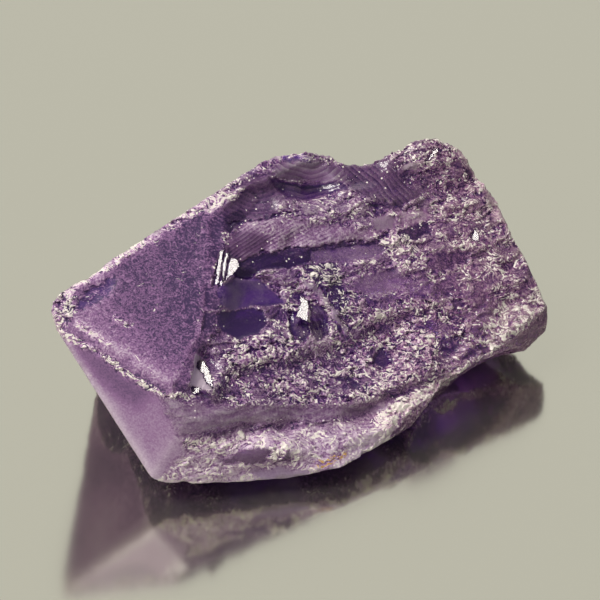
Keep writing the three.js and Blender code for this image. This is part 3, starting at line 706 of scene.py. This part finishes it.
# %% Ledges
LEDGE_CLIMB = radians(14)
LEDGE_DROP = 0.2
LEDGE_BEND = 0.5
LEDGE_BEND_ACROSS = 6
LEDGE_MEAN = 0.5
LEDGE_UNLIKE = 0.9
LEDGE_SWAY = 0.7
LEDGE_SWAY_OVER = 2.4
# Broad and narrow ledges: share of the height, pitch and length in millimetres, place in the noise
LEDGE_LAYERS = [(0.6, 1.1, 5.0, 1.0), (0.4, 0.45, 2.5, 9.0)]


def ledges(along, across, pitch, length, layer):
    """Long treads that each end in a short drop, in units of their pitch."""
    bend = noise.noise(Vector((along / length, across / pitch / LEDGE_BEND_ACROSS, layer)))
    place = across / pitch + LEDGE_BEND * bend
    step = np.floor(place)
    rise = place - step
    unlike = noise.noise(Vector((along / length * 1.4, step * 3.7, layer + 5)))
    own = max(LEDGE_MEAN + LEDGE_UNLIKE * unlike, 0.0)
    return own * (rise / LEDGE_DROP if rise < LEDGE_DROP else (1 - rise) / (1 - LEDGE_DROP))


print("a ledge's height at the origin:", round(ledges(0.0, 0.0, *LEDGE_LAYERS[0][1:]), 3))

# %% [markdown]
# ## Ripples
# A shell-like break leaves rings about the place where it started. Each row gives the middle of the
# rings, their pitch and height in millimetres, and the outline that they fill. Real rings are about
# 0.3 mm apart. Where that is too fine to show, they are drawn up to twice as coarse.

# %% Ripples
RIPPLE_EDGE = 0.4
outlines = {row["name"]: row["outline"] for row in PATCHES}
RIPPLES = [
    {"name": "scallop", "middle": (0.6, 14.5), "pitch": 0.45, "height": 0.04, "outline": [
        (-2.6, 11.8), (0.0, 12.3), (3.6, 11.6), (5.0, 10.3), (3.0, 9.2), (0.4, 8.6), (-2.4, 9.8)]},
    {"name": "saddle", "middle": (-12.0, -8.0), "pitch": 0.42, "height": 0.05,
     "outline": outlines["saddle"]},
    {"name": "layered peak", "middle": (12.0, 6.0), "pitch": 0.6, "height": 0.12,
     "outline": outlines["layered peak"]},
    {"name": "scoop", "middle": (-3.6, 11.6), "pitch": 0.4, "height": 0.04, "strength": 0.6,
     "outline": outlines["rippled scoop"]},
    {"name": "striated ledge", "middle": (22.0, -34.0), "pitch": 0.3, "height": 0.03, "outline": [
        (-6.4, 4.8), (-5.3, 6.2), (-4.3, 7.0), (-2.2, 7.2), (0.0, 6.9), (3.0, 6.4), (3.0, 4.7),
        (0.0, 4.4), (-3.3, 4.0), (-5.3, 3.1), (-6.2, 3.3)]},
    {"name": "smooth band", "middle": (-4.0, -60.0), "pitch": 0.8, "height": 0.04, "strength": 0.5,
     "outline": outlines["smooth violet band"]},
    {"name": "right pit", "middle": (-3.0, -4.0), "pitch": 0.4, "height": 0.06,
     "outline": outlines["right pit"]},
]


def ripples(places, row):
    """How strongly each vertex is rippled, and how many ripples lie between it and their middle."""
    away = np.hypot(*(places - np.array(row["middle"])).T)
    return smooth_rise(depth_inside(places, row["outline"]), 0, RIPPLE_EDGE), away / row["pitch"]


print("rippled breaks:", [row["name"] for row in RIPPLES])

# %% [markdown]
# ## Mirror facets
# A few facets of any broken crystal throw the lamp straight at whoever looks. A facet does that
# when it faces half-way between the lamp and the eye, so the vertices inside each outline are moved
# onto one plane that faces there. Waiting for a shard to lean the right way would leave it to luck.
# They are also given glass and a lighter tone, and the tone is a painted highlight.

# %% Mirror facets
MIRROR_EDGE = 0.05
# glass on the mirror facets, and a lighter tone that is a painted highlight
MIRROR_LOOK_WITH_PAINTED_HIGHLIGHT = {"clear": 1.0, "crush": 0.0, "pale": 0.0, "frost": 0.0, "tone": 0.4}
MIRRORS = [
    {"name": "first stripe of the notch", "outline": [
        (-6.9, 4.3), (-6.6, 4.3), (-7.1, 1.3), (-7.5, 1.3)]},
    {"name": "second stripe of the notch", "outline": [
        (-6.4, 4.1), (-6.2, 4.0), (-6.7, 1.3), (-7.0, 1.2)]},
    {"name": "shield of the notch", "outline": [
        (-6.1, 3.7), (-5.3, 3.4), (-5.3, 2.8), (-5.9, 2.1), (-6.6, 1.6), (-6.3, 2.6)]},
    {"name": "three-sided facet by the ridge", "outline": [
        (-8.8, -5.3), (-8.4, -5.2), (-7.9, -5.9), (-7.5, -7.1), (-7.5, -7.6), (-8.0, -7.2),
        (-8.4, -6.3), (-8.9, -5.8)]},
    {"name": "foot of that facet", "outline": [(-9.3, -7.5), (-8.6, -7.6), (-8.7, -8.0), (-9.3, -8.1)]},
    {"name": "facet between the pits", "outline": [
        (0.1, 0.4), (0.7, -0.2), (0.6, -1.8), (-0.3, -1.4), (0.0, -0.3)]},
    {"name": "glint on the right field", "outline": [
        (14.8, 5.6), (15.1, 6.1), (15.4, 5.7), (15.3, 5.1), (15.0, 5.1)]},
    {"name": "glint on the peak", "outline": [(10.8, 12.0), (11.7, 13.1), (11.9, 12.9), (11.2, 12.0)]},
]


def lines_of_sight(points):
    sight = np.array(eye) - points
    return sight / np.linalg.norm(sight, axis=1)[:, None]


def mirror_depths(points, places, seen, row):
    """How far to move each vertex of a mirror facet so that it lies on a plane that shows the lamp."""
    lies = (depth_inside(places, row["outline"]) > -MIRROR_EDGE) & (seen > 0.5)
    shift = np.zeros(len(points))
    if not lies.any():
        return shift, lies
    facing = np.array((to_camera + KEY_FROM).normalized())
    middle = points[lies].mean(axis=0)
    shift[lies] = ((middle - points[lies]) @ facing) / (lines_of_sight(points[lies]) @ facing) / MM
    return shift, lies


print("mirror facets:", len(MIRRORS))

# %% [markdown]
# ## Softer borders
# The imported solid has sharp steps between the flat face, the windows and the scoop at the top. On
# the stone these run into each other. Each vertex there takes the mean of its neighbours, over and
# over, which is what the Smooth brush does. Working inside outlines keeps every other edge sharp.

# %% Softer borders
BORDERS = [
    {"name": "border of the flat face", "rounds": 30, "path": [
        (-6.7, 6.8), (-6.7, 5.0), (-7.1, 3.3), (-7.2, 1.3), (-6.9, 0.0), (-7.3, -2.6), (-8.5, -4.3),
        (-9.3, -6.2), (-10.0, -7.6)]},
    {"name": "indigo window", "rounds": 110, "outline": [
        (-8.2, 1.2), (-6.6, 1.4), (-5.5, 1.9), (-3.6, 1.8), (-2.6, 0.9), (-1.2, -0.3), (-2.6, -0.6),
        (-4.2, -0.7), (-5.9, -1.0), (-8.2, -0.6)]},
    {"name": "darkest window", "rounds": 80, "outline": [
        (-8.2, -0.9), (-5.9, -1.0), (-4.3, -0.7), (-3.2, -1.0), (-2.8, -2.0), (-3.6, -2.9),
        (-5.2, -3.3), (-6.6, -2.8), (-8.3, -2.6)]},
    {"name": "facet and scoop at the top", "rounds": 60, "outline": [
        (-7.8, 6.5), (-6.9, 7.6), (-5.4, 8.6), (-4.6, 9.6), (-3.6, 8.6), (-4.8, 7.2), (-5.6, 6.2),
        (-6.2, 5.3), (-7.6, 5.0)]},
]
BORDER_REACH = 1.1
BORDER_EDGE = 0.2


def neighbour_mean(mesh, values, rounds):
    """Each vertex takes the mean of its neighbours, over and over."""
    ends = np.empty(2 * len(mesh.edges), int)
    mesh.edges.foreach_get("vertices", ends)
    here = np.concatenate([ends[0::2], ends[1::2]])
    there = np.concatenate([ends[1::2], ends[0::2]])
    count = np.bincount(here, minlength=len(values))
    for _ in range(rounds):
        total = [np.bincount(here, column[there], len(values)) for column in values.T]
        values = np.stack([column / count for column in total], axis=1)
    return values


points, normals, seen = read_surface(stone.data)
places = view_plane(points)
for row in BORDERS:
    if "outline" in row:
        near = smooth_rise(depth_inside(places, row["outline"]), -BORDER_EDGE, BORDER_EDGE)
    else:
        away = distance_to_path(places, row["path"])
        near = 1 - smooth_rise(away, 0.5 * BORDER_REACH, BORDER_REACH)
    points += (near * seen)[:, None] * (neighbour_mean(stone.data, points, row["rounds"]) - points)
stone.data.vertices.foreach_set("co", points.ravel())
stone.data.update()
print("softened borders:", [row["name"] for row in BORDERS])

# %% [markdown]
# ## Moving the vertices
# The map is laid once more on the fine net, and says how much of each relief a vertex gets. All of
# it is added up as one move in millimetres: along the line of sight on the seen side, and along the
# normal on the hidden side. Smooth finishes calm the shards down. The foot stays flat.

# %% Shards and ledges as moves
GRAIN_HEIGHT = 0.45
GRAIN_OF_PALE = 0.6
CALMED = 0.85
CALM_OF_CLEAR = 0.8
CALM_OF_FROST = 0.9
LEDGE_HEIGHT = 0.28

points, normals, seen = read_surface(stone.data)
finish = lay_map(points, normals, seen)
places = view_plane(points)

along = places[:, 0] * np.cos(LEDGE_CLIMB) + places[:, 1] * np.sin(LEDGE_CLIMB)
across = places[:, 1] * np.cos(LEDGE_CLIMB) - places[:, 0] * np.sin(LEDGE_CLIMB)
across += LEDGE_SWAY * each(points, lambda p: noise.noise(p / LEDGE_SWAY_OVER))
treads = sum(
    share * np.array([ledges(a, b, pitch, length, layer) for a, b in zip(along, across)])
    for share, pitch, length, layer in LEDGE_LAYERS
)
coarse = each(points, lambda p: shards(p, SHARD_SIZE, SHARD_STRETCH))
fine = each(points, lambda p: shards(p, FINE_SHARD))
relief = SHARD_SIZE * coarse + FINE_SHARD * fine
grain = np.clip(finish["crush"] + GRAIN_OF_PALE * finish["pale"], 0, 1)
calm = 1 - CALMED * np.maximum(finish["clear"] * CALM_OF_CLEAR, finish["frost"] * CALM_OF_FROST)
move = GRAIN_HEIGHT * grain * relief * np.maximum(calm, finish["crush"])
move += LEDGE_HEIGHT * finish["ledge"] * treads
move -= finish["sink"]
print("mean move of shards, ledges and sinks, mm:", round(float(np.abs(move).mean()), 3))

# %% Ripples and mirror facets as moves
RING_BEND = 0.5
RING_BEND_OVER = 1.8
RING_STRENGTH = 0.8
RING_UNLIKE = 0.9
RING_UNLIKE_OVER = 1.1

finish["rippled"] = np.zeros(len(points))
finish["rings"] = np.zeros(len(points))
bend = RING_BEND * each(points, lambda p: noise.noise(p / RING_BEND_OVER))
unlike = RING_UNLIKE * each(points, lambda p: noise.noise(p / RING_UNLIKE_OVER))
strength = np.clip(RING_STRENGTH + unlike, 0, 1)
for row in RIPPLES:
    cover, wave = ripples(places, row)
    cover *= seen * strength * row.get("strength", 1.0)
    wave += bend
    move += cover * row["height"] * (1 - (wave - np.floor(wave)))
    finish["rings"] = np.where(cover > 0, wave, finish["rings"])
    finish["rippled"] = np.maximum(finish["rippled"], cover)
for row in MIRRORS:
    shift, lies = mirror_depths(points, places, seen, row)
    move = np.where(lies, shift, move)
    for name, value in MIRROR_LOOK_WITH_PAINTED_HIGHLIGHT.items():
        finish[name][lies] = value
print("largest move, mm:", round(float(np.abs(move).max()), 3))

# %% The vertices in their new places
FLAT_FOOT = 0.06 * MM

way = np.where(seen[:, None] > 0.5, lines_of_sight(points), normals)
foot = points[:, 2] < FLAT_FOOT
moved = points + way * (move * MM)[:, None] * np.where(foot, 0, 1)[:, None]
low, high = (np.array(corner) for corner in cad_box)
moved = np.clip(moved, low, high)
stone.data.vertices.foreach_set("co", moved.ravel())
stone.data.update()
print("vertices that stay on the foot:", int(foot.sum()))

# %% [markdown]
# ## Keeping the map on the mesh
# The material has to know where the frost, the crush and the rest lie, so every finish is stored on
# the vertices as an attribute. Two more are measured here. Proud is how far a vertex stands out
# from its surroundings: what stands out gets painted light and bruised white, and hollows get
# painted shade. The other is how much the surface faces up, because painted light from above is
# laid on what faces up, as white grains.

# %% Proud, and facing up for the painted light from above
PROUD_FULL = 0.12 * MM
PROUD_OVER = 12
TOP_LIGHT_FROM, TOP_LIGHT_FULL = 0.45, 0.6

now = read_vectors(stone.data.vertices, "co")
outward = read_vectors(stone.data.vertices, "normal")
proud_by = ((now - neighbour_mean(stone.data, now, PROUD_OVER)) * outward).sum(axis=1)
finish["proud"] = np.clip(proud_by / PROUD_FULL, -1, 1)
# how much each vertex faces up, which is where painted light from above goes
finish["painted_top_light"] = smooth_rise(normals[:, 2], TOP_LIGHT_FROM, TOP_LIGHT_FULL)
print("proud share:", round(float((finish["proud"] > 0.5).mean()), 3),
      "hollow share:", round(float((finish["proud"] < -0.5).mean()), 3))

# %% The finishes as attributes, and the sharp edges
KEPT = ("frost", "crush", "pale", "clear", "tone", "iron", "proud", "rippled", "rings", "painted_top_light")
SHARP_OVER = radians(32)

for name in KEPT:
    layer = stone.data.attributes.new(name, "FLOAT", "POINT")
    layer.data.foreach_set("value", finish[name])
bpy.ops.object.shade_smooth_by_angle(angle=SHARP_OVER)
print("kept on the mesh:", KEPT)

# %% [markdown]
# ## The material: violet quartz
# Amethyst is clear quartz coloured violet by a trace of iron, so it is a glass-like shader with
# quartz's IOR of 1.544, and the colour comes from absorption inside: thick places are deep, thin
# ones pale. Two shaders, one for glass and one for crumb, could be mixed instead, but one shader
# with a varying transmission keeps the borders between them soft.

# %% Clear violet quartz, broken and etched
QUARTZ_IOR = 1.544
DEEP_VIOLET = "#b43fe7"
ABSORPTION_DENSITY = 90.0

violet_quartz = bpy.data.materials.new("violet_quartz")
violet_quartz.use_nodes = True
tree = violet_quartz.node_tree
shader = tree.nodes["Principled BSDF"]
output = tree.nodes["Material Output"]


def add(kind, settings=None, links=None):
    """Adds a node to the quartz. Each input that is named takes a socket or a fixed value."""
    node = tree.nodes.new(kind)
    for name, value in (settings or {}).items():
        setattr(node, name, value)
    for place, source in (links or {}).items():
        if isinstance(source, bpy.types.NodeSocket):
            tree.links.new(source, node.inputs[place])
        else:
            node.inputs[place].default_value = source
    return node


inside = add("ShaderNodeVolumeAbsorption", {}, {
    "Color": linear(DEEP_VIOLET), "Density": ABSORPTION_DENSITY})
tree.links.new(inside.outputs["Volume"], output.inputs["Volume"])
shader.inputs["IOR"].default_value = QUARTZ_IOR
stone.data.materials.clear()
stone.data.materials.append(violet_quartz)
print("material:", violet_quartz.name)

# %% [markdown]
# ## Patterns in the skin
# The crush is made of slivers. They are cells of a Voronoi pattern drawn out to about three times
# their width, along a direction that a slow swirl turns from place to place. Each has a tone of its
# own, as flat chips do, and the lightest turn white: bruised crumb, and painted glints. The etched
# skin is a fine noise: real etch marks are a few hundredths of a millimetre, too fine to show, so
# they are drawn at 0.17 mm. The white grains of painted light from above are 0.2 mm.
# Object coordinates are used, because the pattern then stays on the stone in every view.

# %% Patterns in the skin
SLIVER_ACROSS = 0.24
SPLINTER_ACROSS = 0.14
SWIRL_ACROSS = 1.3
SWIRL_REACH = 2.6
DRAWN_OUT = (0.45, 1.25, 1.25)
CLUMP_ACROSS = 1.1
ETCH_ACROSS = 0.17
TOP_LIGHT_GRAINS_APART = 0.5
WARM_FROM, WARM_FULL = 2 * MM, 18 * MM

place = add("ShaderNodeTexCoord").outputs["Object"]
socket = {name: add("ShaderNodeAttribute", {"attribute_name": name}).outputs["Fac"] for name in KEPT}
socket["clump"] = add("ShaderNodeTexNoise", {}, {
    "Vector": place, "Scale": 1 / (CLUMP_ACROSS * MM), "Detail": 3.0}).outputs["Fac"]
socket["etch"] = add("ShaderNodeTexNoise", {}, {
    "Vector": place, "Scale": 1 / (ETCH_ACROSS * MM), "Detail": 3.0, "Roughness": 0.65}).outputs["Fac"]
socket["to dust"] = add("ShaderNodeTexVoronoi", {}, {
    "Vector": place, "Scale": 1 / (TOP_LIGHT_GRAINS_APART * MM)}).outputs["Distance"]
swirl = add("ShaderNodeTexNoise", {}, {
    "Vector": place, "Scale": 1 / (SWIRL_ACROSS * MM), "Detail": 1.0}).outputs["Color"]
turned = add("ShaderNodeVectorMath", {"operation": "MULTIPLY_ADD"}, {
    0: swirl, 1: (SWIRL_REACH * MM,) * 3, 2: place}).outputs[0]
drawn = add("ShaderNodeVectorMath", {"operation": "MULTIPLY"}, {0: turned, 1: DRAWN_OUT}).outputs[0]
for name, width in (("sliver", SLIVER_ACROSS), ("splinter", SPLINTER_ACROSS)):
    cells = add("ShaderNodeTexVoronoi", {}, {"Vector": drawn, "Scale": 1 / (width * MM)})
    own = add("ShaderNodeSeparateColor", {}, {"Color": cells.outputs["Color"]}).outputs
    for channel in ("Red", "Green", "Blue"):
        socket[f"{name} {channel}"] = own[channel]
along_stone = add("ShaderNodeSeparateXYZ", {}, {0: place}).outputs["X"]
socket["zone"] = add("ShaderNodeMapRange", {}, {
    "Value": along_stone, "From Min": WARM_FROM, "From Max": WARM_FULL}).outputs["Result"]
print("values to work with:", sorted(socket))

# %% [markdown]
# ## How white, how deep and how rough
# The sums that turn the finishes and the patterns into white, depth, roughness and glass are rows of
# a table: a name, an operation, and what goes in. One loop makes a Math node of each row, which is
# easier to read and to change than a web of nodes.
# - white: slivers that are light enough turn white, as bruised crumb and as painted glints. How light
#   is enough hangs on crush, pale and proud, and comes in clumps. White grains on what faces up are
#   painted light from above.
# - depth: from 0, deep indigo, to 1, pale lilac. It follows the tone, mottled by the etch and by the
#   slivers. It is lighter on what stands proud, as painted light, and darker in hollows and in the
#   grooves of the ripples, as painted shade.
# - roughness and glass: windows are smooth and let light in, frost and white crumb are not.
# - height: the fine relief for the bump, which the net is too coarse to carry.

# %% Sums for the white: crush, its painted glints, and painted light from above
TOP_LIGHT_GRAIN_SIZE = 0.21
WHITE_SUMS = [
    ("tooth", "FRACT", "rings"),
    ("tooth", "SUBTRACT", "tooth", 0.5),
    ("tooth", "MULTIPLY", "rippled", "tooth"),
    # light slivers turn white: bruised crumb and painted glints
    ("bright", "MULTIPLY_ADD", "sliver Red", 1.3, -0.95),
    ("bright", "MULTIPLY_ADD", "splinter Red", 0.6, "bright"),
    ("of crush", "MULTIPLY", "crush", 0.75),
    ("of pale", "MULTIPLY", "pale", 1.1),
    ("of clumps", "MULTIPLY_ADD", "clump", 1.6, -0.8),
    # what stands out turns white more readily: bruised crumb, and painted light on the edges
    ("of proud", "MULTIPLY", "proud", 0.3),
    ("share", "ADD", "of crush", "of pale"),
    ("share", "ADD", "share", "of clumps"),
    ("share", "ADD", "share", "of proud"),
    ("share", "SUBTRACT", "share", 1.26),
    ("white", "ADD", "bright", "share"),
    ("white", "MULTIPLY_ADD clamped", "white", 6.0, 0.0),
    # white grains where the surface faces up, in clumps: painted light from above
    ("dust size", "MULTIPLY_ADD", "frost", -0.2, TOP_LIGHT_GRAIN_SIZE),
    ("dust size", "MULTIPLY", "dust size", "painted_top_light"),
    ("in a clump", "GREATER_THAN", "clump", 0.51),
    ("dust size", "MULTIPLY", "dust size", "in a clump"),
    ("dust", "LESS_THAN", "to dust", "dust size"),
    ("white", "MAXIMUM", "white", "dust"),
]
print("steps to the white:", len(WHITE_SUMS))

# %% Sums for the depth of the violet
FROST_GREY = 0.12
DEPTH_SUMS = [
    ("mottled", "MULTIPLY_ADD", "crush", 3.2, 0.5),
    ("mottled", "MINIMUM", "mottled", 1.8),
    ("mottle", "SUBTRACT", "etch", 0.5),
    ("mottle", "MULTIPLY", "mottle", "mottled"),
    ("shreds", "ADD", "sliver Green", "splinter Blue"),
    ("shreds", "MULTIPLY_ADD", "shreds", 0.9, -0.95),
    ("shreds", "MULTIPLY", "shreds", "crush"),
    ("uneven", "ADD", "mottle", "shreds"),
    ("depth", "MULTIPLY_ADD", "tone", 0.5, 0.5),
    ("depth", "ADD", "depth", "uneven"),
    # painted light on what stands out, painted shade in the hollows
    ("on proud", "MULTIPLY", "proud", 0.35),
    ("depth", "ADD", "depth", "on proud"),
    # painted shade in the grooves of the ripples
    ("in grooves", "MULTIPLY", "tooth", -0.5),
    ("depth", "ADD", "depth", "in grooves"),
    ("window depth", "MULTIPLY_ADD", "clump", 1.0, -0.5),
    ("window depth", "ADD", "depth", "window depth"),
    ("window", "MULTIPLY", "clear", "clear"),
    ("saturation", "MULTIPLY_ADD", "frost", -FROST_GREY, 1.0),
    ("warmth", "MULTIPLY_ADD", "crush", 0.4, "zone"),
    ("stain", "GREATER_THAN", "sliver Red", 0.45),
    ("stain", "MULTIPLY", "iron", "stain"),
]
print("steps to the violet:", len(DEPTH_SUMS))

# %% Sums for roughness, glass and the bump
SKIN_SUMS = [
    ("roughness", "MULTIPLY_ADD", "frost", 0.32, 0.2),
    ("polish", "MULTIPLY", "clear", 0.17),
    ("roughness", "SUBTRACT", "roughness", "polish"),
    ("roughness", "MULTIPLY_ADD clamped", "white", 0.3, "roughness"),
    ("glass", "MULTIPLY_ADD", "frost", -0.5, 0.88),
    ("glass", "MULTIPLY_ADD", "crush", -0.5, "glass"),
    ("glass", "MULTIPLY_ADD clamped", "white", -0.7, "glass"),
    ("etched", "MULTIPLY", "frost", 0.4),
    ("etched", "ADD", "etched", "crush"),
    ("height", "MULTIPLY", "etch", "etched"),
    ("of slivers", "MULTIPLY", "sliver Blue", "crush"),
    ("of slivers", "MULTIPLY", "of slivers", 1.5),
    ("height", "ADD", "height", "of slivers"),
    ("of ripples", "MULTIPLY", "tooth", -1.2),
    ("height", "ADD", "height", "of ripples"),
]
for name, operation, *inputs in WHITE_SUMS + DEPTH_SUMS + SKIN_SUMS:
    operation, _, clamped = operation.partition(" ")
    settings = {"operation": operation, "use_clamp": bool(clamped)}
    links = {i: socket.get(value, value) for i, value in enumerate(inputs)}
    socket[name] = add("ShaderNodeMath", settings, links).outputs[0]
print("Math nodes in all:", len(WHITE_SUMS + DEPTH_SUMS + SKIN_SUMS))

# %% [markdown]
# ## The colours, one over the other
# A ramp turns depth into violet. In a window the colour is purer, because it is seen through the
# glass. Frost greys it a little. The right end and the crush are warmer, since the violet of a
# natural crystal lies in zones. White covers that: bruised crumb, painted glints on the slivers, and
# painted light from above on what faces up. A little rust stains single slivers.

# %% The colours, one over the other
VIOLETS = ((0.0, "#3b195c"), (0.5, "#a26cac"), (1.0, "#e6cfe9"))
WINDOW_DEEP, WINDOW_PALE = "#6a2cb4", "#f0d8ea"
WARM_TINT = "#fff8e8"
# one white for bruised crumb, for painted glints and for painted light from above
WHITE_OF_CRUMB_AND_PAINTED_LIGHT = "#e6dfd9"
RUST = "#d0a030"

violets = add("ShaderNodeValToRGB", {}, {0: socket["depth"]})
ramp = violets.color_ramp.elements
ramp.new(0.5)
for stop, (position, colour) in zip(ramp, VIOLETS):
    stop.position = position
    stop.color = linear(colour)
windows = add("ShaderNodeMix", {"data_type": "RGBA"}, {
    0: socket["window depth"], 6: linear(WINDOW_DEEP), 7: linear(WINDOW_PALE)}).outputs[2]
body = add("ShaderNodeMix", {"data_type": "RGBA"}, {
    0: socket["window"], 6: violets.outputs["Color"], 7: windows}).outputs[2]
body = add("ShaderNodeHueSaturation", {}, {
    "Color": body, "Saturation": socket["saturation"]}).outputs["Color"]
body = add("ShaderNodeMix", {"data_type": "RGBA", "blend_type": "MULTIPLY"}, {
    0: socket["warmth"], 6: body, 7: linear(WARM_TINT)}).outputs[2]
whitened = add("ShaderNodeMix", {"data_type": "RGBA"}, {
    0: socket["white"], 6: body, 7: linear(WHITE_OF_CRUMB_AND_PAINTED_LIGHT)}).outputs[2]
skin = add("ShaderNodeMix", {"data_type": "RGBA"}, {
    0: socket["stain"], 6: whitened, 7: linear(RUST)}).outputs[2]
print("violets from deep to pale:", [stop.position for stop in ramp])

# %% The skin on the shader
BUMP_HEIGHT = 0.04 * MM
BUMP_STRENGTH = 0.6

bump = add("ShaderNodeBump", {}, {
    "Height": socket["height"], "Distance": BUMP_HEIGHT, "Strength": BUMP_STRENGTH}).outputs["Normal"]
tree.links.new(skin, shader.inputs["Base Color"])
tree.links.new(socket["roughness"], shader.inputs["Roughness"])
tree.links.new(socket["glass"], shader.inputs["Transmission Weight"])
tree.links.new(bump, shader.inputs["Normal"])
print("nodes in the quartz:", len(tree.nodes))

# %% [markdown]
# ## Putting it on the frame
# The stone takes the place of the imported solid, and rides on its one body.

# %% The frame
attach(stone, "root")
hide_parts("amethyst")

print("triangles:", sum(len(face.vertices) - 2 for face in stone.data.polygons))
